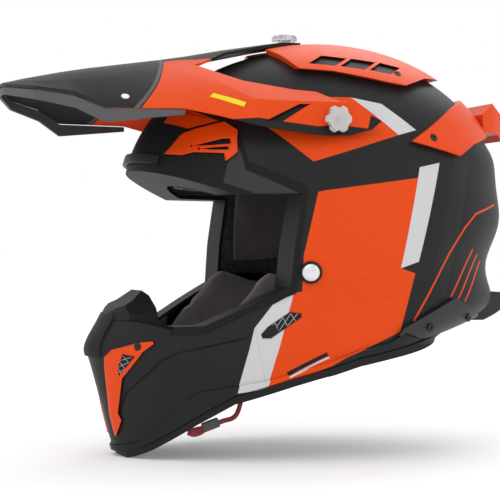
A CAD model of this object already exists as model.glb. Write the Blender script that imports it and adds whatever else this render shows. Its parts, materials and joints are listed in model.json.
"""Motocross helmet: finishes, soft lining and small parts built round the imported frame."""

import json
import logging
import math
from dataclasses import dataclass, field
from enum import Enum
from functools import reduce
from typing import Callable, Iterable, Sequence

import bmesh
import bpy
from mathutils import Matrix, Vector


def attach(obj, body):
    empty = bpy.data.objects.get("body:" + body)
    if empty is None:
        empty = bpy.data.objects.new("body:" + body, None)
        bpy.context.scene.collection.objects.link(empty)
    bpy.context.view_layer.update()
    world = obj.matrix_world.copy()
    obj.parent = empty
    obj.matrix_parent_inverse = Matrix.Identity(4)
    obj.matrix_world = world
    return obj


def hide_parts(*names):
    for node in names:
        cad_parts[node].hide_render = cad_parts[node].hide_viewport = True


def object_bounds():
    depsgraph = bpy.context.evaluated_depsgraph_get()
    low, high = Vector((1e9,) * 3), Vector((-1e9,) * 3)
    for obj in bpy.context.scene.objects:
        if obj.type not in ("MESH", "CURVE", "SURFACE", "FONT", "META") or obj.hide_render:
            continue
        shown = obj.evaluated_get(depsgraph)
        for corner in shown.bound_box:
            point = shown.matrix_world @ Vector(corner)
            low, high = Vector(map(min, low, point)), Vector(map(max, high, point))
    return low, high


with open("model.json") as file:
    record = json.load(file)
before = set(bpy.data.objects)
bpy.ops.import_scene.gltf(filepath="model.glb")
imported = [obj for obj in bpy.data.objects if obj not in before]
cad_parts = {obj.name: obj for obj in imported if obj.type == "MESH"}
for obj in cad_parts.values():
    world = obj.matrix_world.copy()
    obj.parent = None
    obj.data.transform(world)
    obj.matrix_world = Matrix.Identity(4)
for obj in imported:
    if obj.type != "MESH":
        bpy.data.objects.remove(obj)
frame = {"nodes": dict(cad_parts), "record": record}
CAD_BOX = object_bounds()
LOG = logging.getLogger("helmet")
MM = 0.001
WELD = 2e-5
THREAD_R = 0.32
STITCH_SHARE = 0.62
Point2 = tuple[float, float]
Ring = list[Vector]
Colour = tuple[float, float, float]


class Side(Enum):
    """The two sides of the helmet."""

    LEFT = "left"
    RIGHT = "right"


class Hue(Enum):
    """Linear colours that several finishes share."""

    BLACK = (0.0105, 0.0105, 0.011)
    SHELL = (0.0125, 0.0125, 0.013)
    CHARCOAL = (0.032, 0.032, 0.034)
    GREY = (0.085, 0.085, 0.09)
    ORANGE = (0.69, 0.058, 0.0015)
    DEEP_ORANGE = (0.70, 0.056, 0.001)
    WHITE = (0.54, 0.54, 0.55)
    YELLOW = (0.75, 0.62, 0.02)
    LINER = (0.075, 0.062, 0.056)
    RED = (0.30, 0.008, 0.02)


# ---------------------------------------------------------------- shader maths


class Wire:
    """One shader value, with arithmetic that adds Math nodes."""

    def __init__(self, tree: "Tree", socket: bpy.types.NodeSocket) -> None:
        """Keeps a value.

        Args:
            tree: The node tree it is in.
            socket: The output socket that gives it.
        """
        self.tree = tree
        self.socket = socket

    def _math(self, operation: str, *others: "Wire | float", clamp: bool = False) -> "Wire":
        """Adds a Math node with this value first.

        Args:
            operation: The node's operation.
            others: Its other values.
            clamp: Keeps the result from 0 to 1.

        Returns:
            The result.
        """
        return self.tree.math(operation, self, *others, clamp=clamp)

    def __add__(self, other: "Wire | float") -> "Wire":
        """Adds."""
        return self._math("ADD", other)

    __radd__ = __add__

    def __mul__(self, other: "Wire | float") -> "Wire":
        """Multiplies."""
        return self._math("MULTIPLY", other)

    __rmul__ = __mul__

    def __sub__(self, other: "Wire | float") -> "Wire":
        """Subtracts."""
        return self._math("SUBTRACT", other)

    def __rsub__(self, other: float) -> "Wire":
        """Subtracts this value from a number."""
        return self.tree.math("SUBTRACT", other, self)

    def __abs__(self) -> "Wire":
        """Drops the sign."""
        return self._math("ABSOLUTE")

    def least(self, other: "Wire | float") -> "Wire":
        """Returns the smaller of two values."""
        return self._math("MINIMUM", other)

    def most(self, other: "Wire | float") -> "Wire":
        """Returns the larger of two values."""
        return self._math("MAXIMUM", other)

    def step(self, width: float) -> "Wire":
        """Returns 0 below zero and 1 above it, with a soft edge of a width."""
        return self._math("MULTIPLY_ADD", 1.0 / width, 0.5, clamp=True)

    def rise(self, start: float, slope: float) -> "Wire":
        """Returns a ramp from a start with a slope, kept from 0 to 1."""
        return ((self - start) * slope).most(0.0).least(1.0)

    def sine(self) -> "Wire":
        """Returns the sine."""
        return self._math("SINE")


def tinted(colour: Colour, share: float) -> Colour:
    """Returns a colour made darker or lighter by a share."""
    return tuple(c * share for c in colour)


class Tree:
    """A material's node tree, with one method for each kind of thing the finishes need."""

    def __init__(self, name: str) -> None:
        """Starts an empty material.

        Args:
            name: The material's name.
        """
        self.material = bpy.data.materials.new(name)
        self.material.use_nodes = True
        self.nodes = self.material.node_tree.nodes
        self.links = self.material.node_tree.links
        self.nodes.clear()
        self.output = self.nodes.new("ShaderNodeOutputMaterial")
        self._axes: dict[str, Wire] = {}

    def node(self, kind: str, settings: dict | None = None, **inputs: object) -> bpy.types.Node:
        """Adds a node.

        Args:
            kind: The node's type.
            settings: Its properties, set first.
            inputs: Values or links of its sockets, by name with _ for a space.

        Returns:
            The node.
        """
        node = self.nodes.new(kind)
        for key, value in (settings or {}).items():
            setattr(node, key, value)
        for key, value in inputs.items():
            self.put(node.inputs[key.replace("_", " ")], value)
        return node

    def put(self, socket: bpy.types.NodeSocket, value: object) -> None:
        """Gives a socket a value.

        Args:
            socket: The input socket.
            value: A link, a number or a colour.
        """
        if isinstance(value, Wire):
            self.links.new(value.socket, socket)
        elif isinstance(value, bpy.types.NodeSocket):
            self.links.new(value, socket)
        else:
            socket.default_value = value

    def math(self, operation: str, *values: Wire | float, clamp: bool = False) -> Wire:
        """Adds a Math node.

        Args:
            operation: The node's operation.
            values: Its values, in order.
            clamp: Keeps the result from 0 to 1.

        Returns:
            The result.
        """
        node = self.node("ShaderNodeMath", {"operation": operation, "use_clamp": clamp})
        for socket, value in zip(node.inputs, values):
            self.put(socket, value)
        return Wire(self, node.outputs[0])

    def place(self) -> bpy.types.NodeSocket:
        """Finds the object coordinates, made once.

        Returns:
            The coordinates' vector.
        """
        if "place" not in self._axes:
            node = self.node("ShaderNodeTexCoord")
            self._axes["place"] = Wire(self, node.outputs["Object"])
        return self._axes["place"].socket

    def axis(self, letter: str) -> Wire:
        """Finds one object coordinate, made once.

        Args:
            letter: X, Y or Z.

        Returns:
            The coordinate in millimetres.
        """
        if letter not in self._axes:
            split = self.node("ShaderNodeSeparateXYZ", None, Vector=self.place())
            for name in "XYZ":
                self._axes[name] = Wire(self, split.outputs[name]) * (1 / MM)
        return self._axes[letter]

    def noise(self, scale: float, detail: float = 3.0, rough: float = 0.5) -> Wire:
        """Adds noise.

        Args:
            scale: Grains per metre.
            detail: Number of finer layers.
            rough: Share of the finer layers.

        Returns:
            The noise, from 0 to 1.
        """
        sizes = {"Scale": scale, "Detail": detail, "Roughness": rough}
        node = self.node("ShaderNodeTexNoise", None, Vector=self.place(), **sizes)
        return Wire(self, node.outputs["Fac"])

    def cells(self, scale: float) -> Wire:
        """Returns the distance to the nearest of a number of cells per metre."""
        node = self.node("ShaderNodeTexVoronoi", None, Vector=self.place(), Scale=scale)
        return Wire(self, node.outputs["Distance"])

    def blend(self, share: Wire | float, low: object, high: object) -> bpy.types.NodeSocket:
        """Mixes two colours.

        Args:
            share: How much of the second one.
            low: The first colour, as a tuple or a link.
            high: The second colour, as a tuple or a link.

        Returns:
            The mixed colour.
        """
        node = self.node("ShaderNodeMix", {"data_type": "RGBA"})
        self.put(node.inputs[0], share)
        for socket, value in ((node.inputs[6], low), (node.inputs[7], high)):
            self.put(socket, value if isinstance(value, bpy.types.NodeSocket) else (*value, 1.0))
        return node.outputs[2]

    def shades(self, share: Wire, colour: Colour, low: float, high: float) -> bpy.types.NodeSocket:
        """Mixes two tints of a colour by a share."""
        return self.blend(share, tinted(colour, low), tinted(colour, high))

    def bump(self, height: Wire, distance: float, strength: float = 1.0) -> bpy.types.NodeSocket:
        """Returns a normal from a height in a share of a distance in metres."""
        node = self.node("ShaderNodeBump", None, Height=height, Distance=distance, Strength=strength)
        return node.outputs["Normal"]

    def surface(
        self, colour: object, roughness: object, normal: object = None, **fixed: float
    ) -> bpy.types.Material:
        """Ends the tree in a Principled shader.

        Args:
            colour: Base colour, as a tuple or a link.
            roughness: A number or a link.
            normal: A link, or None for the plain surface.
            fixed: Other sockets by name with _ for a space.

        Returns:
            The finished material.
        """
        shader = self.node("ShaderNodeBsdfPrincipled")
        self.put(shader.inputs["Base Color"], (*colour, 1.0) if isinstance(colour, tuple) else colour)
        self.put(shader.inputs["Roughness"], roughness)
        if normal is not None:
            self.put(shader.inputs["Normal"], normal)
        for key, value in fixed.items():
            self.put(shader.inputs[key.replace("_", " ")], value)
        self.links.new(shader.outputs[0], self.output.inputs["Surface"])
        return self.material


def inside(tree: Tree, corners: Sequence[Point2], soft: float = 0.35) -> Wire:
    """Returns a mask that is 1 inside a convex side outline.

    Args:
        tree: The node tree.
        corners: Y and Z of each corner in millimetres, in either turning sense.
        soft: Width of the edge in millimetres.

    Returns:
        The mask.
    """
    after = [*corners[1:], corners[0]]
    area = sum(a[0] * b[1] - b[0] * a[1] for a, b in zip(corners, after))
    ring = list(corners) if area > 0 else list(corners)[::-1]
    y, z = tree.axis("Y"), tree.axis("Z")
    depths = []
    for (y0, z0), (y1, z1) in zip(ring, ring[1:] + [ring[0]]):
        length = math.hypot(y1 - y0, z1 - z0)
        along, across = (y1 - y0) / length, (z1 - z0) / length
        depths.append(z * along - y * across + (across * y0 - along * z0))
    return reduce(Wire.least, depths).step(soft)


def anywhere(tree: Tree, outlines: Iterable[Sequence[Point2]]) -> Wire:
    """Returns the mask of several convex side outlines together."""
    return reduce(Wire.most, [inside(tree, outline) for outline in outlines])


def stroke(tree: Tree, points: Sequence[Point2], width: float) -> Wire:
    """Returns the mask of a line.

    Args:
        tree: The node tree.
        points: Y and Z of its points in millimetres.
        width: Its width in millimetres.

    Returns:
        The mask.
    """
    boxes = []
    for (y0, z0), (y1, z1) in zip(points, points[1:]):
        length = math.hypot(y1 - y0, z1 - z0)
        dy, dz = (y1 - y0) / length * width / 2, (z1 - z0) / length * width / 2
        near = ((y0 - dz - dy, z0 + dy - dz), (y0 + dz - dy, z0 - dy - dz))
        boxes.append((*near, (y1 + dz + dy, z1 - dy + dz), (y1 - dz + dy, z1 + dy + dz)))
    return anywhere(tree, boxes)


# ---------------------------------------------------------------- finishes


@dataclass(frozen=True)
class MouldedPlastic:
    """Moulded plastic with a fine spark-eroded grain and slight mottling."""

    name: str
    colour: Colour
    roughness: float = 0.5
    grain: float = 2600.0
    depth: float = 0.00003
    mottle: float = 0.12
    shine: float = 0.2

    def material(self) -> bpy.types.Material:
        """Builds the material.

        Returns:
            The material.
        """
        tree = Tree(self.name)
        slow = tree.noise(28.0, 2.0)
        fine = tree.noise(self.grain, 2.0, 0.6)
        colour = tree.shades(slow, self.colour, 1 - self.mottle, 1 + self.mottle)
        rough = slow * 0.1 + fine * 0.06 + (self.roughness - 0.08)
        return tree.surface(colour, rough, tree.bump(fine, self.depth), Specular_IOR_Level=self.shine)


@dataclass(frozen=True)
class Lacquer:
    """Matt black lacquer over the shell, with orange and pale panels, folds and grooves on both sides."""

    name: str = "shell_lacquer"
    base: Colour = Hue.SHELL.value
    orange: tuple[tuple[Point2, ...], ...] = (
        ((-39.6, 43), (-25, 45), (55, 64), (37, -14), (-46.8, -32.7), (-40.3, -3.8)),
        ((37, -14), (50, -18), (38, -63), (-7.1, -81.8), (-46.8, -32.7)),
        ((-46.8, -32.7), (-7.1, -81.8), (-47.9, -104.6), (-63.9, -105.9)),
        ((-76, 105), (-60, 118), (5.6, 118.2), (39.3, 88.9), (-32.2, 67.1)),
        ((-126.3, 100.2), (-119.4, 109.7), (-111, 110.5), (-95, 99.4), (-115, 94.1)),
    )
    white: tuple[tuple[Point2, ...], ...] = (
        ((54.8, 64), (74, 68), (53, -9), (37, -14)),
        ((-46.8, -32.7), (-62.1, -41.6), (-74.6, -59.3), (-63.9, -105.9)),
        ((-74.6, -59.3), (-84.9, -109.2), (-63.9, -105.9)),
        ((5.6, 118.2), (30, 113.7), (56.1, 93.4), (39.3, 88.9)),
    )
    patch: tuple[Point2, ...] = ((-50.2, -93), (-21.3, -77.6), (-20.2, -80.6), (-48.8, -95.6))
    patch_edge: tuple[Point2, ...] = ((-48.6, -96), (-20, -81), (-19.4, -82.4), (-48, -97.4))
    lines: tuple[tuple[Point2, ...], ...] = (
        ((50.6, -54.1), (83.3, -2), (99, 17.7), (111.6, 28.7), (138.7, 36.6)),
        ((86, -36), (110, 0)),
        ((94, -38), (117, -4)),
        ((102, -40), (123, -9)),
    )
    line_widths: tuple[float, ...] = (1.6, 1.5, 1.5, 1.5)
    groove: tuple[Point2, ...] = (
        (-80, -67), (-85.1, -68.3), (-124.9, -78.3), (-136.3, -84.4), (-157.6, -111.1), (-161.2, -131.8),
    )
    groove_width: float = 1.1
    groove_colour: Colour = (0.004, 0.004, 0.004)
    groove_depth: float = 0.3
    side_fold: float = -0.55
    back_fold: float = -0.5
    cheek_fold: float = -0.3
    bump_distance: float = 0.004

    def material(self) -> bpy.types.Material:
        """Builds the material.

        Returns:
            The material.
        """
        tree = Tree(self.name)
        slow = tree.noise(22.0, 2.0)
        fine = tree.noise(3000.0, 2.0, 0.6)
        orange = anywhere(tree, self.orange)
        strokes = [stroke(tree, line, width) for line, width in zip(self.lines, self.line_widths)]
        lines = reduce(Wire.most, strokes)
        groove = stroke(tree, self.groove, self.groove_width)
        black = tree.shades(slow, self.base, 0.85, 1.2)
        paint = tree.shades(slow, Hue.ORANGE.value, 0.96, 1.0)
        colour = tree.blend(orange.most(lines), black, paint)
        colour = tree.blend(anywhere(tree, self.white), colour, Hue.WHITE.value)
        colour = tree.blend(inside(tree, self.patch), colour, Hue.BLACK.value)
        colour = tree.blend(inside(tree, self.patch_edge), colour, Hue.WHITE.value)
        colour = tree.blend(groove, colour, self.groove_colour)
        rough = slow * 0.08 + fine * 0.04 + orange * 0.03 + 0.40
        height = fine * 0.004 - groove * self.groove_depth + self.pressed(tree)
        return tree.surface(colour, rough, tree.bump(height, self.bump_distance), Specular_IOR_Level=0.17)

    def pressed(self, tree: Tree) -> Wire:
        """Returns the height of the folds pressed into the sides, from 0 to 1.

        Args:
            tree: The node tree.

        Returns:
            The height as a share of the bump's distance.
        """
        y, z = tree.axis("Y"), tree.axis("Z")
        side = (y * 0.23 - z).rise(22.0, 0.045) * y.rise(-56.0, 0.03) * y.rise(74.0, -0.05)
        back = (y - z * 0.25).rise(72.0, 0.06) * z.rise(90.0, -0.04)
        cheek = (z * -0.35 - y).rise(62.0, 0.03) * z.rise(-50.0, -0.05)
        return side * self.side_fold + back * self.back_fold + cheek * self.cheek_fold


@dataclass(frozen=True)
class FramePaint:
    """Dark satin face of the eye port surround, with paler facets and an orange brow corner."""

    name: str = "surround_satin"
    colour: Colour = Hue.CHARCOAL.value
    pale: tuple[tuple[Point2, ...], ...] = (
        ((-96.7, 51.2), (-92.6, 67.6), (-84.3, 77.9), (-81.4, 60.6)),
        ((-96.7, 51.2), (-81.4, 60.6), (-43.3, 42.4), (-60.6, 37)),
    )
    brow: tuple[Point2, ...] = ((-126.3, 100.2), (-119.4, 109.7), (-111, 110.5), (-95, 99.4), (-115, 94.1))
    face_x: float = 84.0

    def material(self) -> bpy.types.Material:
        """Builds the material.

        Returns:
            The material.
        """
        tree = Tree(self.name)
        slow = tree.noise(26.0, 2.0)
        fine = tree.noise(2600.0, 2.0, 0.6)
        dark = tree.shades(slow, self.colour, 0.32, 0.42)
        outer = (abs(tree.axis("X")) - self.face_x).step(2.0)
        colour = tree.blend(anywhere(tree, self.pale) * outer, dark, tinted(self.colour, 1.2))
        colour = tree.blend(inside(tree, self.brow), colour, Hue.ORANGE.value)
        rough = slow * 0.08 + fine * 0.05 + 0.48
        return tree.surface(colour, rough, tree.bump(fine, 0.00003), Specular_IOR_Level=0.09)


@dataclass(frozen=True)
class PeakPaint:
    """Peak lacquer: a black middle and a round-edged black front, orange wings and a blank patch."""

    name: str = "peak_lacquer"
    patch: tuple[Point2, ...] = ((-108, 116), (-103.5, 119), (-82, 111.5), (-84.5, 108))
    black: tuple[tuple[Point2, ...], ...] = (
        ((-125, 60), (-125, 96), (-75, 99.5), (-29, 93.5), (-29, 60)),
        ((-30, 60), (-30, 93.6), (2, 96), (12, 92.6), (40, 90), (40, 60)),
        ((10, 90), (16, 112), (40, 112), (40, 90)),
    )
    front_y: float = -190.0
    front_reach: Point2 = (100.0, 66.0)
    wing_x: float = 33.0
    wing_y: float = -128.0
    wing_flare: float = 0.06
    ring_from: float = 8.0

    def material(self) -> bpy.types.Material:
        """Builds the material.

        Returns:
            The material.
        """
        tree = Tree(self.name)
        slow = tree.noise(24.0, 2.0)
        fine = tree.noise(3000.0, 2.0, 0.6)
        x, y = abs(tree.axis("X")), tree.axis("Y")
        across, along = x * (1 / self.front_reach[0]), (y - self.front_y) * (1 / self.front_reach[1])
        oval = 1.0 - across * across - along * along
        front = oval.step(0.012).most((y - self.front_y).step(0.4) * -1.0 + 1.0)
        ring = (0.032 - abs(oval - 0.06)).step(0.012)
        wing = (x - self.wing_x - (y - self.wing_y) * self.wing_flare).step(0.4)
        orange = wing * (1 - front) * (1 - anywhere(tree, self.black))
        black = tree.blend(slow, tinted(Hue.BLACK.value, 0.9), Hue.SHELL.value)
        paint = tree.shades(slow, Hue.ORANGE.value, 0.95, 1.0)
        colour = tree.blend(orange, black, paint)
        colour = tree.blend(ring * front * (x - self.ring_from).step(0.4), colour, Hue.GREY.value)
        colour = tree.blend(inside(tree, self.patch), colour, Hue.YELLOW.value)
        rough = slow * 0.08 + fine * 0.04 + 0.40
        return tree.surface(colour, rough, tree.bump(fine, 0.00002), Specular_IOR_Level=0.17)


@dataclass(frozen=True)
class BeadFoam:
    """Moulded bead foam: packed beads with dark joints."""

    name: str = "bead_foam"
    colour: Colour = (0.03, 0.03, 0.031)

    def material(self) -> bpy.types.Material:
        """Builds the material.

        Returns:
            The material.
        """
        tree = Tree(self.name)
        bead = tree.cells(330.0)
        colour = tree.shades(bead, self.colour, 1.5, 0.5)
        return tree.surface(colour, 0.75 + bead * 0.1, tree.bump(1 - bead, 0.0006))


@dataclass(frozen=True)
class MeshFabric:
    """Knitted spacer mesh: rows of small holes in a soft face."""

    name: str = "mesh_fabric"
    colour: Colour = Hue.LINER.value
    pitch: float = 2.3

    def material(self) -> bpy.types.Material:
        """Builds the material.

        Returns:
            The material.
        """
        tree = Tree(self.name)
        turn = 2 * math.pi / self.pitch
        x, y, z = tree.axis("X"), tree.axis("Y"), tree.axis("Z")
        weave = ((y + z) * (turn * 0.7)).sine() * ((y - z + x) * (turn * 0.7)).sine()
        hole = (abs(weave) - 0.42).step(0.5)
        slow = tree.noise(35.0, 3.0)
        fuzz = tree.noise(1800.0, 3.0, 0.7)
        light = tree.shades(slow, self.colour, 1.0, 1.7)
        colour = tree.blend(hole, light, tinted(self.colour, 0.35))
        height = (1 - hole) * 0.8 + fuzz * 0.3
        return tree.surface(colour, 0.92, tree.bump(height, 0.0005), Sheen_Weight=0.35, Sheen_Roughness=0.5)


@dataclass(frozen=True)
class Webbing:
    """Flat woven ribbon with a fine cross weave."""

    name: str
    colour: Colour
    pitch: float = 1.1

    def material(self) -> bpy.types.Material:
        """Builds the material.

        Returns:
            The material.
        """
        tree = Tree(self.name)
        turn = 2 * math.pi / self.pitch
        y, z = tree.axis("Y"), tree.axis("Z")
        weave = ((y + z) * turn).sine() * 0.5 + ((y - z) * turn).sine() * 0.5
        colour = tree.shades(weave.step(2.0), self.colour, 0.6, 1.3)
        return tree.surface(colour, 0.7, tree.bump(weave, 0.00025), Sheen_Weight=0.3)


@dataclass(frozen=True)
class Steel:
    """Metal with fine brushed lines."""

    name: str
    colour: Colour
    roughness: float = 0.28

    def material(self) -> bpy.types.Material:
        """Builds the material.

        Returns:
            The material.
        """
        tree = Tree(self.name)
        brushed = tree.noise(900.0, 4.0, 0.7)
        colour = tree.shades(brushed, self.colour, 0.8, 1.0)
        rough = brushed * 0.15 + self.roughness
        return tree.surface(colour, rough, tree.bump(brushed, 0.00002), Metallic=1.0)


@dataclass(frozen=True)
class ClearPlastic:
    """Clear moulded plastic with faint clouding."""

    name: str = "clear_plastic"

    def material(self) -> bpy.types.Material:
        """Builds the material.

        Returns:
            The material.
        """
        tree = Tree(self.name)
        cloud = tree.noise(160.0, 2.0)
        colour = tree.blend(cloud, (0.72, 0.72, 0.73), (0.9, 0.9, 0.9))
        rough, normal = cloud * 0.15 + 0.08, tree.bump(cloud, 0.0002)
        return tree.surface(colour, rough, normal, Transmission_Weight=0.55, IOR=1.46)


FINISHES: dict[str, object] = {
    "shell_paint": Lacquer(),
    "peak_plastic": PeakPaint(),
    "orange_plastic": MouldedPlastic("orange_plastic", Hue.DEEP_ORANGE.value, 0.42, mottle=0.05),
    "dark_trim": MouldedPlastic("dark_trim", Hue.CHARCOAL.value, 0.5),
    "grey_trim": MouldedPlastic("grey_trim", Hue.GREY.value, 0.5),
    "grille_plastic": MouldedPlastic("grille_plastic", (0.008, 0.008, 0.008), 0.45),
    "soft_rubber": MouldedPlastic("soft_rubber", Hue.BLACK.value, 0.6, grain=1400.0, depth=0.00006),
    "foam": BeadFoam(),
    "mesh_fabric": MeshFabric(),
    "webbing": Webbing("webbing", Hue.BLACK.value),
    "red_ribbon": Webbing("red_ribbon", Hue.RED.value),
    "rivet_steel": Steel("rivet_steel", (0.78, 0.78, 0.79)),
    "black_steel": Steel("black_steel", (0.05, 0.05, 0.05), 0.4),
    "insert_brass": Steel("insert_brass", (0.75, 0.55, 0.25)),
    "clear_plastic": ClearPlastic(),
    "frame_face": FramePaint(),
    "bare_inside": MouldedPlastic("bare_inside", (0.009, 0.009, 0.009), 0.6),
    "lattice_grey": MouldedPlastic("lattice_grey", (0.3, 0.3, 0.31), 0.4),
}
_made: dict[str, bpy.types.Material] = {}
SLOT_OF = {entry["node"]: entry["material_slot"] for entry in frame["record"]["subparts"]}
# Nodes whose flat faces aren't joined up, because they follow a curve.
CURVED = (
    "outer_shell", "eps_liner", "eps_chin", "base_trim", "crown_vent", "rear_spoiler", "rear_exhaust",
    "knob_left", "knob_right", "knob_top",
)


def finish(slot: str) -> bpy.types.Material:
    """Finds a slot's material, made once.

    Args:
        slot: A name in FINISHES.

    Returns:
        The material.
    """
    if slot not in _made:
        _made[slot] = FINISHES[slot].material()
    return _made[slot]


# ---------------------------------------------------------------- mesh helpers


def new_piece(name: str, mesh: bpy.types.Mesh, body: str, slot: str, *nodes: str) -> bpy.types.Object:
    """Puts a mesh in the scene as a piece of a body.

    Args:
        name: The piece's name.
        mesh: Its mesh, in metres in the shared frame.
        body: The body that it rides on.
        slot: The record's material slot.
        nodes: CAD nodes that it stands for.

    Returns:
        The piece.
    """
    mesh.name = name
    piece = bpy.data.objects.new(name, mesh)
    bpy.context.scene.collection.objects.link(piece)
    mesh.materials.clear()
    mesh.materials.append(finish(slot))
    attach(piece, body)
    if nodes:
        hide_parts(*nodes)
    LOG.info("%s on %s, %d faces", name, body, len(mesh.polygons))
    return piece


def body_of(node: str) -> str:
    """Returns the body that a node belongs to."""
    bodies = frame["record"]["behaviour"]["bodies"]
    return next(name for name, nodes in bodies.items() if node in nodes)


def refined(node: str, bevel: float = 0.5, angle: float = 32.0, slot: str | None = None) -> bpy.types.Object:
    """Replaces a CAD node with a merged copy that has rounded edges and smooth faces.

    Args:
        node: The CAD node.
        bevel: Width of the rounded edges in millimetres, or 0 for none.
        angle: Edges sharper than this many degrees are rounded.
        slot: The material slot, or None for the record's own.

    Returns:
        The new piece.
    """
    work = bmesh.new()
    work.from_mesh(frame["nodes"][node].data)
    bmesh.ops.remove_doubles(work, verts=work.verts, dist=WELD)
    if node not in CURVED:
        bmesh.ops.dissolve_limit(work, angle_limit=math.radians(0.6), verts=work.verts, edges=work.edges)
    for face in work.faces:
        face.smooth = True
    for edge in work.edges:
        if len(edge.link_faces) == 2 and edge.calc_face_angle(0.0) > math.radians(angle):
            edge.smooth = False
    mesh = bpy.data.meshes.new(node + ".fine")
    work.to_mesh(mesh)
    work.free()
    piece = new_piece(node + ".fine", mesh, body_of(node), slot or SLOT_OF[node], node)
    if bevel:
        round_edges = piece.modifiers.new("round_edges", "BEVEL")
        round_edges.width = bevel * MM
        round_edges.segments = 2
        round_edges.limit_method = "ANGLE"
        round_edges.angle_limit = math.radians(angle)
        round_edges.use_clamp_overlap = True
        round_edges.harden_normals = False
    return piece


# ---------------------------------------------------------------- the shell's form


@dataclass(frozen=True)
class Form:
    """Outer surface of the shell, in millimetres."""

    middle_y: float = 10.0
    dome_z: float = 40.0
    dome_rise: float = 124.5
    dome_power: float = 2.05
    rows: tuple[tuple[float, ...], ...] = (
        (40, -148, 166, 121, 2.0, 2.2),
        (28, -148.5, 167, 121.5, 1.98, 2.2),
        (10, -150, 162, 122, 1.93, 2.2),
        (-20, -156, 154, 121, 1.85, 2.2),
        (-50, -167, 151, 119, 1.75, 2.15),
        (-82, -181, 150, 116, 1.65, 2.1),
        (-115, -171.5, 148, 111, 1.65, 2.1),
        (-145, -163.5, 145, 104, 1.68, 2.1),
        (-172, -155, 140, 96, 1.72, 2.1),
    )

    def side_x(self, y: float, z: float) -> float:
        """Returns how far out the left side is.

        Args:
            y: Place along the helmet.
            z: Height.

        Returns:
            The X of the surface.
        """
        k, row = 1.0, self.rows[0]
        if z > self.dome_z:
            up = min((z - self.dome_z) / self.dome_rise, 0.999)
            k = (1 - up**self.dome_power) ** (1 / self.dome_power)
        else:
            for high, low in zip(self.rows, self.rows[1:]):
                if z >= low[0]:
                    t = (high[0] - z) / (high[0] - low[0])
                    row = tuple(a + (b - a) * t for a, b in zip(high, low))
                    break
        front = y < self.middle_y
        length = (self.middle_y - row[1] if front else row[2] - self.middle_y) * k
        power = row[4] if front else row[5]
        share = min(abs(y - self.middle_y) / length, 0.999)
        return row[3] * k * (1 - share**power) ** (1 / power)

    def normal(self, y: float, z: float) -> Vector:
        """Finds the outward direction of the left side.

        Args:
            y: Place along the helmet.
            z: Height.

        Returns:
            The direction, one long.
        """
        slope_y = (self.side_x(y + 1, z) - self.side_x(y - 1, z)) / 2
        slope_z = (self.side_x(y, z + 1) - self.side_x(y, z - 1)) / 2
        return Vector((1, -slope_y, -slope_z)).normalized()

    def point(self, y: float, z: float, lift: float = 0.0) -> Vector:
        """Returns a point on the left side, lifted off it, in metres."""
        return (Vector((self.side_x(y, z), y, z)) + self.normal(y, z) * lift) * MM


FORM = Form()


def flipped(points: Iterable[Vector], side: Side) -> list[Vector]:
    """Moves left-side points to a side.

    Args:
        points: Points on the left.
        side: The side that they are wanted on.

    Returns:
        The points.
    """
    turn = 1.0 if side is Side.LEFT else -1.0
    return [Vector((p.x * turn, p.y, p.z)) for p in points]


def tube_mesh(name: str, rings: Sequence[Ring]) -> bpy.types.Mesh:
    """Makes a closed mesh through rings, with its two ends filled.

    Args:
        name: Name of the mesh.
        rings: Rings of as many points each.

    Returns:
        The mesh.
    """
    work = bmesh.new()
    made = [[work.verts.new(p) for p in ring] for ring in rings]
    for near, far in zip(made, made[1:]):
        for index in range(len(near)):
            after = (index + 1) % len(near)
            work.faces.new((near[index], near[after], far[after], far[index]))
    work.faces.new(made[0][::-1])
    work.faces.new(made[-1])
    bmesh.ops.recalc_face_normals(work, faces=work.faces)
    for face in work.faces:
        face.smooth = len(face.verts) == 4
    mesh = bpy.data.meshes.new(name)
    work.to_mesh(mesh)
    work.free()
    return mesh


def turned(profile: Sequence[Point2], place: Vector, axis: Vector, sides: int = 40) -> list[Ring]:
    """Returns rings of a turned shape.

    Args:
        profile: Radius and height of each ring in millimetres.
        place: Where its middle is, in metres.
        axis: Its direction.
        sides: Points in a ring.

    Returns:
        The rings.
    """
    across = axis.orthogonal().normalized()
    other = axis.cross(across)
    rings = []
    for radius, height in profile:
        middle = place + axis * height * MM
        angles = [2 * math.pi * step / sides for step in range(sides)]
        rings.append([middle + (across * math.cos(a) + other * math.sin(a)) * radius * MM for a in angles])
    return rings


def merged(name: str, meshes: Sequence[bpy.types.Mesh]) -> bpy.types.Mesh:
    """Joins meshes.

    Args:
        name: Name of the result.
        meshes: The meshes.

    Returns:
        One mesh that holds them all.
    """
    work = bmesh.new()
    for mesh in meshes:
        work.from_mesh(mesh)
    whole = bpy.data.meshes.new(name)
    work.to_mesh(whole)
    work.free()
    return whole


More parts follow.
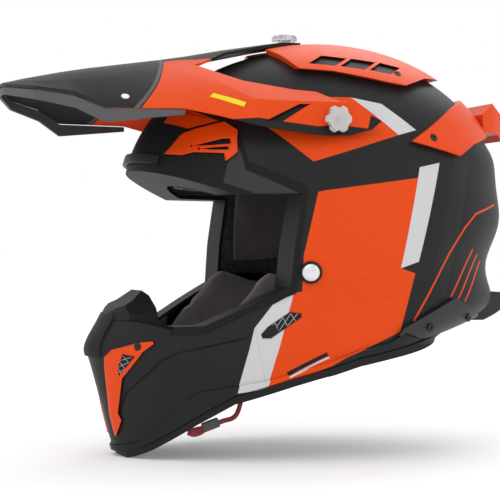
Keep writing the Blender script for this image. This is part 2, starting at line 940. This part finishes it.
class Repeat:
    """A Geometry Nodes tree that sets copies of a shape along a line, or sweeps a rod along it."""

    def __init__(self, name: str) -> None:
        """Starts an empty tree with its geometry sockets.

        Args:
            name: The tree's name.
        """
        self.tree = bpy.data.node_groups.new(name, "GeometryNodeTree")
        self.tree.interface.new_socket("Line", in_out="INPUT", socket_type="NodeSocketGeometry")
        self.tree.interface.new_socket("Result", in_out="OUTPUT", socket_type="NodeSocketGeometry")
        self.start = self.tree.nodes.new("NodeGroupInput")
        self.end = self.tree.nodes.new("NodeGroupOutput")

    def number(self, name: str, value: float) -> str:
        """Adds a named size.

        Args:
            name: The socket's name.
            value: Its first value.

        Returns:
            The socket's identifier.
        """
        socket = self.tree.interface.new_socket(name, in_out="INPUT", socket_type="NodeSocketFloat")
        socket.default_value = value
        return socket.identifier

    def node(self, kind: str, settings: dict | None = None, **inputs: object) -> bpy.types.Node:
        """Adds a node.

        Args:
            kind: The node's type.
            settings: Its properties, set first.
            inputs: Values or links of its sockets, by name with _ for a space.

        Returns:
            The node.
        """
        node = self.tree.nodes.new(kind)
        for key, value in (settings or {}).items():
            setattr(node, key, value)
        for key, value in inputs.items():
            socket = node.inputs[key.replace("_", " ")]
            if isinstance(value, bpy.types.NodeSocket):
                self.tree.links.new(value, socket)
            else:
                socket.default_value = value
        return node

    def finish(self, last: bpy.types.NodeSocket, slot: str) -> None:
        """Ends the tree in Realize Instances and Set Material.

        Args:
            last: The geometry so far.
            slot: The material slot.
        """
        real = self.node("GeometryNodeRealizeInstances", None, Geometry=last)
        ends = {"Geometry": real.outputs[0], "Material": finish(slot)}
        dressed = self.node("GeometryNodeSetMaterial", None, **ends)
        self.tree.links.new(dressed.outputs[0], self.end.inputs[0])

    def mesh(self, name: str, line: bpy.types.Mesh, sizes: dict[str, float]) -> bpy.types.Mesh:
        """Runs the tree on a line and returns the plain mesh.

        Args:
            name: Name of the result.
            line: The line's mesh.
            sizes: Values by socket identifier.

        Returns:
            The mesh.
        """
        carrier = bpy.data.objects.new(name + ".line", line)
        bpy.context.scene.collection.objects.link(carrier)
        modifier = carrier.modifiers.new("repeat", "NODES")
        modifier.node_group = self.tree
        for key, value in sizes.items():
            modifier[key] = value
        graph = bpy.context.evaluated_depsgraph_get()
        result = bpy.data.meshes.new_from_object(carrier.evaluated_get(graph))
        result.name = name
        bpy.data.objects.remove(carrier)
        return result


def line_mesh(lines: Iterable[Sequence[Vector]]) -> bpy.types.Mesh:
    """Makes a mesh of open lines.

    Args:
        lines: The points of each line.

    Returns:
        The mesh, with edges only.
    """
    points: list[Vector] = []
    edges: list[tuple[int, int]] = []
    for line in lines:
        first = len(points)
        points.extend(line)
        edges.extend((first + index, first + index + 1) for index in range(len(line) - 1))
    mesh = bpy.data.meshes.new("line")
    mesh.from_pydata([tuple(p) for p in points], edges, [])
    return mesh


def swept(name: str, lines: Iterable[Sequence[Vector]], radius: float, slot: str) -> bpy.types.Mesh:
    """Makes thin rods along lines with Geometry Nodes.

    Args:
        name: Name of the result.
        lines: The points of each line.
        radius: Radius of the rods in millimetres.
        slot: The material slot.

    Returns:
        The mesh.
    """
    tree = Repeat(name + "_rods")
    size = tree.number("Radius", radius * MM)
    given = tree.start.outputs
    curve = tree.node("GeometryNodeMeshToCurve", None, Mesh=given["Line"])
    circle = tree.node("GeometryNodeCurvePrimitiveCircle", None, Resolution=6, Radius=given["Radius"])
    ends = {"Curve": curve.outputs[0], "Profile_Curve": circle.outputs[0], "Fill_Caps": True}
    rods = tree.node("GeometryNodeCurveToMesh", None, **ends)
    tree.finish(rods.outputs[0], slot)
    return tree.mesh(name, line_mesh(lines), {size: radius * MM})


def stitched(name: str, lines: Iterable[Sequence[Vector]], slot: str, pitch: float = 3.4) -> bpy.types.Mesh:
    """Makes a row of short stitches along lines with Geometry Nodes.

    Args:
        name: Name of the result.
        lines: The points of each line.
        slot: The material slot.
        pitch: Step from one stitch to the next in millimetres.

    Returns:
        The mesh.
    """
    tree = Repeat(name + "_stitches")
    long = pitch * STITCH_SHARE * MM
    step, length = tree.number("Pitch", pitch * MM), tree.number("Length", long)
    given = tree.start.outputs
    curve = tree.node("GeometryNodeMeshToCurve", None, Mesh=given["Line"])
    ends = {"Curve": curve.outputs[0], "Length": given["Pitch"]}
    points = tree.node("GeometryNodeCurveToPoints", {"mode": "LENGTH"}, **ends)
    ends = {"Vertices": 6, "Radius": THREAD_R * MM, "Depth": given["Length"]}
    stitch = tree.node("GeometryNodeMeshCylinder", None, **ends)
    spots, turns = points.outputs[0], points.outputs["Rotation"]
    ends = {"Points": spots, "Instance": stitch.outputs[0], "Rotation": turns}
    placed = tree.node("GeometryNodeInstanceOnPoints", None, **ends)
    tree.finish(placed.outputs[0], slot)
    return tree.mesh(name, line_mesh(lines), {step: pitch * MM, length: long})


# ---------------------------------------------------------------- hardware


@dataclass
class Rivets:
    """Domed strap rivets, each in a black ring."""

    place: Point2 = (-35.0, -17.0)
    ring: tuple[Point2, ...] = (
        (7.2, 0.3), (8.5, 0.3), (8.5, 1.2), (8.1, 1.7), (7.3, 1.7), (6.9, 1.3), (6.9, 0.3),
    )
    dome: tuple[Point2, ...] = (
        (6.85, 0.3), (6.85, 1.4), (6.6, 2.0), (6.0, 2.5), (5.0, 2.95), (3.8, 3.3), (2.2, 3.6),
        (0.8, 3.72), (0.05, 3.74),
    )

    def build(self) -> None:
        """Makes both rivets."""
        for side in Side:
            place = flipped([FORM.point(*self.place)], side)[0]
            axis = flipped([FORM.normal(*self.place)], side)[0]
            node = "strap_rivet_" + side.value
            dome = tube_mesh("dome", turned(self.dome, place, axis))
            new_piece("rivet_dome_" + side.value, dome, body_of(node), "rivet_steel", node)
            ring = tube_mesh("ring", turned(self.ring, place, axis))
            new_piece("rivet_ring_" + side.value, ring, body_of(node), "grille_plastic")


@dataclass
class Bolts:
    """Socket screws in the panels."""

    radius: float = 3.2
    height: float = 0.6
    socket: float = 1.7
    depth: float = 1.0
    bevel: Point2 = (0.4, 0.35)
    sides: int = 24
    sets: tuple[tuple[str, tuple[Point2, ...], float], ...] = (
        ("skirt_screws", ((64, -60), (105, -53.5)), 3.5),
        ("spoiler_screws", ((68, 86),), 4.5),
        ("chin_screws", ((-151, -74.8),), 2.0),
        ("crown_screws", ((52, 136),), 5.5),
    )

    def build(self) -> None:
        """Makes every screw of each set."""
        for node, places, stack in self.sets:
            heads = []
            for side in Side:
                for y, z in places:
                    place = flipped([FORM.point(y, z, stack)], side)[0]
                    heads.append(self.head(place, flipped([FORM.normal(y, z)], side)[0]))
            new_piece(node + "_heads", merged(node, heads), body_of(node), SLOT_OF[node], node)

    def head(self, place: Vector, axis: Vector) -> bpy.types.Mesh:
        """Returns one screw head with a six-sided socket.

        Args:
            place: Middle of its seat.
            axis: Outward direction.

        Returns:
            The mesh.
        """
        r, h = self.radius, self.height
        rings = turned(((r, -1.0), (r, h - self.bevel[1]), (r - self.bevel[0], h)), place, axis, self.sides)
        across = axis.orthogonal().normalized()
        other = axis.cross(across)
        twelfth = math.pi / 6
        for height in (h, h - self.depth):
            ring = []
            for step in range(self.sides):
                angle = 2 * math.pi * step / self.sides
                flat = math.cos((angle + twelfth) % (2 * twelfth) - twelfth)
                reach = self.socket * math.cos(twelfth) / flat
                out = across * math.cos(angle) + other * math.sin(angle)
                ring.append(place + axis * height * MM + out * reach * MM)
            rings.append(ring)
        return tube_mesh("bolt", rings)


@dataclass
class Grilles:
    """Lattices over the side and chin grilles."""

    radius: float = 0.36
    lift: float = 0.7
    side: tuple[tuple[Point2, Point2], ...] = (
        ((-69, -66), (-65.5, -59.5)), ((-63, -65.5), (-60, -55)), ((-57, -61.5), (-54.5, -51)),
        ((-51, -57.5), (-49, -48)), ((-45.5, -53.5), (-44, -48)),
    )
    chin: tuple[tuple[Point2, Point2], ...] = (
        ((-162, -81.5), (-156, -82.8)), ((-163.5, -86), (-157.5, -87)),
        ((-163.8, -91), (-159.5, -92)), ((-163.5, -96), (-161.5, -96.5)),
    )

    def build(self) -> None:
        """Makes the four lattices over refined plates."""
        for side in Side:
            for name, pairs in (("side_grille", self.side), ("chin_grille", self.chin)):
                node = f"{name}_{side.value}"
                refined(node, 0.2)
                lines = []
                for (low, high), (next_low, next_high) in zip(pairs, pairs[1:]):
                    for pair in ((low, next_high), (high, next_low)):
                        lines.append(flipped([FORM.point(*spot, self.lift) for spot in pair], side))
                mesh = swept(node + "_lattice", lines, self.radius, "lattice_grey")
                lattice = new_piece(node + "_lattice", mesh, body_of(node), "grille_plastic")
                lattice.data.materials[0] = finish("lattice_grey")


# ---------------------------------------------------------------- soft lining and webbing


def voxelled(node: str, voxel: float) -> bpy.types.Object:
    """Makes an even mesh round a pad's solid.

    Args:
        node: The CAD node.
        voxel: Size of the mesh in millimetres.

    Returns:
        A new object with the mesh.
    """
    work = bmesh.new()
    work.from_mesh(frame["nodes"][node].data)
    bmesh.ops.remove_doubles(work, verts=work.verts, dist=WELD)
    mesh = bpy.data.meshes.new(node + ".pad")
    work.to_mesh(mesh)
    work.free()
    pad = bpy.data.objects.new(node + ".sewn", mesh)
    bpy.context.scene.collection.objects.link(pad)
    remesh = pad.modifiers.new("remesh", "REMESH")
    remesh.mode = "VOXEL"
    remesh.voxel_size = voxel * MM
    graph = bpy.context.evaluated_depsgraph_get()
    pad.data = bpy.data.meshes.new_from_object(pad.evaluated_get(graph))
    pad.modifiers.clear()
    return pad


@dataclass(frozen=True)
class CheekRise:
    """How a cheek pad's front stands up towards the eye port, in millimetres."""

    lift: float = 9.0
    middle_y: float = -50.0
    spread: float = 20.0
    foot_z: float = -62.0
    height: float = 36.0

    def apply(self, mesh: bpy.types.Mesh) -> None:
        """Raises a pad's mesh.

        Args:
            mesh: The mesh, changed in place.
        """
        for vertex in mesh.vertices:
            y, z = vertex.co.y / MM, vertex.co.z / MM
            near = math.exp(-(((y - self.middle_y) / self.spread) ** 2))
            vertex.co.z += self.lift * MM * near * max(0.0, min(1.0, (z - self.foot_z) / self.height))


def pillow(
    node: str, voxel: float, shrink: float, cap: float, grooves: Callable[[Vector], float]
) -> bpy.types.Object:
    """Replaces a pad's solid with a sewn, filled form, swollen by cloth simulation.

    Args:
        node: The CAD node.
        voxel: Size of the mesh in millimetres.
        shrink: How far the starting shape is drawn in, in millimetres.
        cap: The most that a point may move in the simulation, in millimetres.
        grooves: Depth of the sewn channels at a point, in millimetres.

    Returns:
        The pad.
    """
    pad = voxelled(node, voxel)
    ease(pad.data, 2)
    for vertex, normal in zip(pad.data.vertices, [v.normal.copy() for v in pad.data.vertices]):
        vertex.co -= normal * shrink * MM
    rest = [v.co.copy() for v in pad.data.vertices]
    swell(pad)
    for vertex, start in zip(pad.data.vertices, rest):
        move = vertex.co - start
        if move.length > cap * MM:
            vertex.co = start + move * (cap * MM / move.length)
    normals = [v.normal.copy() for v in pad.data.vertices]
    for vertex, normal in zip(pad.data.vertices, normals):
        vertex.co -= normal * grooves(vertex.co / MM) * MM
    if node.startswith("cheek_pad"):
        CheekRise().apply(pad.data)
    for polygon in pad.data.polygons:
        polygon.use_smooth = True
    finer = pad.modifiers.new("finer", "SUBSURF")
    finer.levels = finer.render_levels = 1
    pad.data.materials.clear()
    pad.data.materials.append(finish("mesh_fabric"))
    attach(pad, body_of(node))
    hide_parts(node)
    LOG.info("%s sewn, %d points", node, len(rest))
    return pad


def ease(mesh: bpy.types.Mesh, rounds: int) -> None:
    """Smooths the steps that a voxel mesh leaves.

    Args:
        mesh: The mesh, changed in place.
        rounds: Times to smooth.
    """
    work = bmesh.new()
    work.from_mesh(mesh)
    for _ in range(rounds):
        every_way = {f"use_axis_{letter}": True for letter in "xyz"}
        bmesh.ops.smooth_vert(work, verts=work.verts, factor=0.5, **every_way)
    work.to_mesh(mesh)
    work.free()


def swell(pad: bpy.types.Object, pressure: float = 4.0, frames: int = 20) -> None:
    """Swells a pad with cloth pressure and keeps the result.

    Args:
        pad: The pad.
        pressure: Force of the filling.
        frames: Frames that are simulated.
    """
    cloth = pad.modifiers.new("cloth", "CLOTH")
    cloth.settings.use_pressure = True
    cloth.settings.uniform_pressure_force = pressure
    cloth.settings.effector_weights.gravity = 0.0
    cloth.settings.quality = 4
    scene = bpy.context.scene
    for step in range(1, frames + 1):
        scene.frame_set(step)
    graph = bpy.context.evaluated_depsgraph_get()
    result = bpy.data.meshes.new_from_object(pad.evaluated_get(graph))
    pad.modifiers.clear()
    pad.data = result
    scene.frame_set(1)


def channel(distance: float, width: float, depth: float) -> float:
    """Returns the depth of a sewn channel at a distance from its line."""
    return depth * math.exp(-((distance / width) ** 2))


@dataclass
class Lining:
    """Crown, brow, neck and cheek pads."""

    channel_width: float = 2.6
    channel_depth: float = 1.7
    brow_step: float = 24.0
    roll_y: float = -72.0
    roll_z: float = -60.0
    roll_slope: float = 0.42
    stitches_from: float = 4.0
    stitch_top: float = -46.0
    stitch_step: float = 4.4
    stitch_points: int = 12

    def build(self) -> None:
        """Makes every pad, and the stitches on the cheek pads."""
        pillow("crown_pad", 5.0, 1.4, 1.6, self.crown)
        pillow("brow_pad", 3.6, 1.0, 1.2, self.brow)
        pillow("neck_roll", 4.5, 1.4, 1.8, lambda p: 0.0)
        for side in Side:
            pad = pillow("cheek_pad_" + side.value, 4.0, 2.2, 3.2, self.cheek)
            self.stitch(pad, side)

    def crown(self, p: Vector) -> float:
        """Measures the crown pad's channels: two long seams and three cross seams.

        Args:
            p: A point in millimetres.

        Returns:
            The depth there.
        """
        long_seam = abs(abs(p.x) - 34.0 - (60 - abs(p.y)) * 0.08)
        cross = min(abs(p.y - 70 + p.z * 0.3), abs(p.y - 10), abs(p.y + 45 - p.z * 0.2))
        return channel(min(long_seam, cross), self.channel_width, self.channel_depth)

    def brow(self, p: Vector) -> float:
        """Returns the depth of the brow pad's channels: even seams across."""
        return channel(abs((p.x + self.brow_step / 2) % self.brow_step - self.brow_step / 2), 2.0, 1.2)

    def cheek(self, p: Vector) -> float:
        """Measures a cheek pad's channels: a rolled front edge and a curved middle seam.

        Args:
            p: A point in millimetres.

        Returns:
            The depth there.
        """
        roll = abs(p.y - self.roll_y + (p.z - self.roll_z) * self.roll_slope)
        middle = abs(p.z + 62.0 - (p.y + 20.0) * 0.25)
        seam = channel(middle, self.channel_width, self.channel_depth) * (p.y > -66)
        return max(channel(roll, 2.8, 2.4), seam)

    def stitch(self, pad: bpy.types.Object, side: Side) -> None:
        """Sews a row of stitches beside the rolled edge of a cheek pad.

        Args:
            pad: The cheek pad.
            side: Its side.
        """
        turn = 1.0 if side is Side.LEFT else -1.0
        line = []
        for step in range(self.stitch_points):
            z = self.stitch_top - step * self.stitch_step
            y = self.roll_y + self.stitches_from - (z - self.roll_z) * self.roll_slope
            start = Vector((turn * 20.0, y, z)) * MM
            found, spot, normal, _ = pad.ray_cast(start, Vector((turn, 0, 0)))
            if found:
                line.append(spot + normal * 0.2 * MM)
        if len(line) > 2:
            mesh = stitched("cheek_stitches_" + side.value, [line], "webbing")
            new_piece("cheek_stitches_" + side.value, mesh, body_of("cheek_pad_" + side.value), "webbing")


@dataclass
class Ribbons:
    """Red release ribbons under the cheek pads, each with a grey clip."""

    width: float = 3.8
    wall: float = 0.9
    x: float = 60.7
    samples: int = 6
    sway: float = 0.25
    sway_turn: float = 0.5
    section: tuple[Point2, ...] = (
        (-1, -0.5), (-0.8, -1), (0.8, -1), (1, -0.5), (1, 0.5), (0.8, 1), (-0.8, 1), (-1, 0.5),
    )
    down: tuple[Point2, ...] = (
        (-69, -97), (-71, -110), (-74.5, -124), (-79, -130.5), (-87, -132.8), (-94, -134.8),
    )
    upper: tuple[Point2, ...] = ((-101, -136.8), (-106, -138.2), (-111, -139.2), (-116, -140.6))
    lower: tuple[Point2, ...] = ((-101, -137.6), (-105.5, -141.2), (-111, -142.6), (-116, -141))

    def build(self) -> None:
        """Makes both ribbons, then the clips."""
        for side in Side:
            bands = [self.band(line, side) for line in (self.down, self.upper, self.lower)]
            node = "release_loop_" + side.value
            new_piece("release_ribbon_" + side.value, merged(node, bands), body_of(node), "red_ribbon", node)
            refined("loop_clip_" + side.value, 0.8, 20.0)

    def smoothed(self, line: Sequence[Point2]) -> Ring:
        """Runs a smooth curve through points.

        Args:
            line: Y and Z of the points in millimetres.

        Returns:
            Closer points, in millimetres.
        """
        points = [Vector((self.x, y, z)) for y, z in line]
        ends = [points[0] * 2 - points[1], *points, points[-1] * 2 - points[-2]]
        smooth = []
        for a, b, c, d in zip(ends, ends[1:], ends[2:], ends[3:]):
            for step in range(self.samples):
                t = step / self.samples
                square, cube = a * 2 - b * 5 + c * 4 - d, b * 3 - a - c * 3 + d
                smooth.append((b * 2 + (c - a) * t + square * t**2 + cube * t**3) / 2)
        return [*smooth, points[-1]]

    def band(self, line: Sequence[Point2], side: Side) -> bpy.types.Mesh:
        """Makes a smooth flat band along a line.

        Args:
            line: Y and Z of its points in millimetres.
            side: Its side.

        Returns:
            The mesh.
        """
        smooth = self.smoothed(line)
        out = Vector((1, 0, 0))
        rings = []
        for index, spot in enumerate(smooth):
            along = (smooth[min(index + 1, len(smooth) - 1)] - smooth[max(index - 1, 0)]).normalized()
            across = along.cross(out).normalized() * self.width / 2
            sway = math.sin(index * self.sway_turn) * self.sway
            ring = [spot + across * a + out * (b * self.wall / 2 + sway) for a, b in self.section]
            rings.append(flipped([p * MM for p in ring], side))
        return tube_mesh("band", rings)


@dataclass
class Shell:
    """The painted shell, its trims and the hard pieces inside."""

    inward: float = 0.2
    special: dict[str, str] = field(default_factory=lambda: {"eyeport_frame": "frame_face"})
    made_elsewhere: tuple[str, ...] = (
        "strap_rivet", "skirt_screws", "spoiler_screws", "chin_screws", "crown_screws",
        "side_grille", "chin_grille", "crown_pad", "brow_pad", "neck_roll", "cheek_pad",
        "release_loop", "loop_clip",
    )

    def build(self) -> None:
        """Refines every hard CAD piece."""
        for node in sorted(frame["nodes"]):
            if node.startswith(self.made_elsewhere):
                continue
            piece = refined(node, 0.3 if node.startswith("peak_insert") else 0.5)
            if node in self.special:
                piece.data.materials[0] = finish(self.special[node])
            if node == "outer_shell":
                self.bare_inside(piece.data)

    def bare_inside(self, mesh: bpy.types.Mesh) -> None:
        """Gives the faces that look inwards a bare dark finish.

        Args:
            mesh: The shell's mesh, changed in place.
        """
        mesh.materials.append(finish("bare_inside"))
        for polygon in mesh.polygons:
            away = polygon.center - Vector((0, FORM.middle_y, min(polygon.center.z, FORM.dome_z))) * MM
            if polygon.center.z < FORM.dome_z * MM:
                away.z = 0.0
            if away.normalized().dot(polygon.normal) < self.inward:
                polygon.material_index = 1


# ---------------------------------------------------------------- studio


@dataclass
class Studio:
    """Floor, lights and the camera."""

    target: tuple[float, float, float] = (0.0, -0.045, 0.0)
    bearing: float = 18.5
    distance: float = 1.35
    lens: float = 118.5
    sensor: float = 36.0
    floor_size: float = 120.0
    floor_glow: float = 0.12
    lights: tuple[tuple[str, tuple[float, float, float], float, float], ...] = (
        ("key", (1.3, -1.2, 1.7), 1.4, 9.0),
        ("fill", (1.7, 1.2, 0.6), 1.2, 2.0),
        ("rim", (-1.0, 0.9, 1.6), 1.2, 9.0),
    )

    def build(self) -> None:
        """Makes the floor, the lights, the world and the camera."""
        self.make_floor()
        self.make_lights()
        self.make_camera()

    def make_floor(self) -> None:
        """Makes a pale floor under the helmet."""
        low, half = CAD_BOX[0][2], self.floor_size / 2
        corners = [(-half, -half, low), (half, -half, low), (half, half, low), (-half, half, low)]
        mesh = bpy.data.meshes.new("floor")
        mesh.from_pydata(corners, [], [(0, 1, 2, 3)])
        floor = bpy.data.objects.new("floor", mesh)
        bpy.context.scene.collection.objects.link(floor)
        tree = Tree("floor_paper")
        grain = tree.noise(60.0)
        shade = tree.blend(grain, (0.87, 0.87, 0.88), (0.9, 0.9, 0.9))
        glow = {"Emission_Strength": self.floor_glow, "Emission_Color": (1, 1, 1, 1)}
        glow["Specular_IOR_Level"] = 0.0
        mesh.materials.append(tree.surface(shade, 0.9, None, **glow))

    def make_lights(self) -> None:
        """Makes three soft lights and a pale surround."""
        world = bpy.data.worlds.new("surround")
        bpy.context.scene.world = world
        world.use_nodes = True
        background = world.node_tree.nodes["Background"]
        background.inputs["Color"].default_value = (1, 1, 1, 1)
        background.inputs["Strength"].default_value = 1.0
        bpy.context.scene.view_settings.view_transform = "Standard"
        for light in self.lights:
            self.add_light(*light)

    def add_light(self, name: str, place: tuple[float, float, float], size: float, power: float) -> None:
        """Adds a soft square light that faces the helmet.

        Args:
            name: Its name.
            place: Where it is, in metres.
            size: Length of its side in metres.
            power: Its power in watts.
        """
        lamp = bpy.data.lights.new(name, "AREA")
        lamp.size = size
        lamp.energy = power
        light = bpy.data.objects.new(name, lamp)
        light.location = place
        light.rotation_euler = (Vector(self.target) - Vector(place)).to_track_quat("-Z", "Y").to_euler()
        bpy.context.scene.collection.objects.link(light)

    def make_camera(self) -> None:
        """Makes the camera level with the target, ahead of the left side."""
        angle = math.radians(self.bearing)
        away = Vector((math.cos(angle), -math.sin(angle), 0.0)) * self.distance
        lens = bpy.data.cameras.new("camera")
        lens.lens = self.lens
        lens.sensor_width = self.sensor
        camera = bpy.data.objects.new("camera", lens)
        camera.location = Vector(self.target) + away
        camera.rotation_euler = (-away).to_track_quat("-Z", "Y").to_euler()
        bpy.context.scene.collection.objects.link(camera)
        bpy.context.scene.camera = camera


def main() -> None:
    """Builds the helmet's pieces in order."""
    logging.basicConfig(level=logging.INFO, format="%(message)s")
    Studio().build()
    for part in (Shell(), Rivets(), Bolts(), Grilles(), Ribbons(), Lining()):
        LOG.info("building %s", type(part).__name__)
        part.build()


if __name__ == "__main__":
    main()
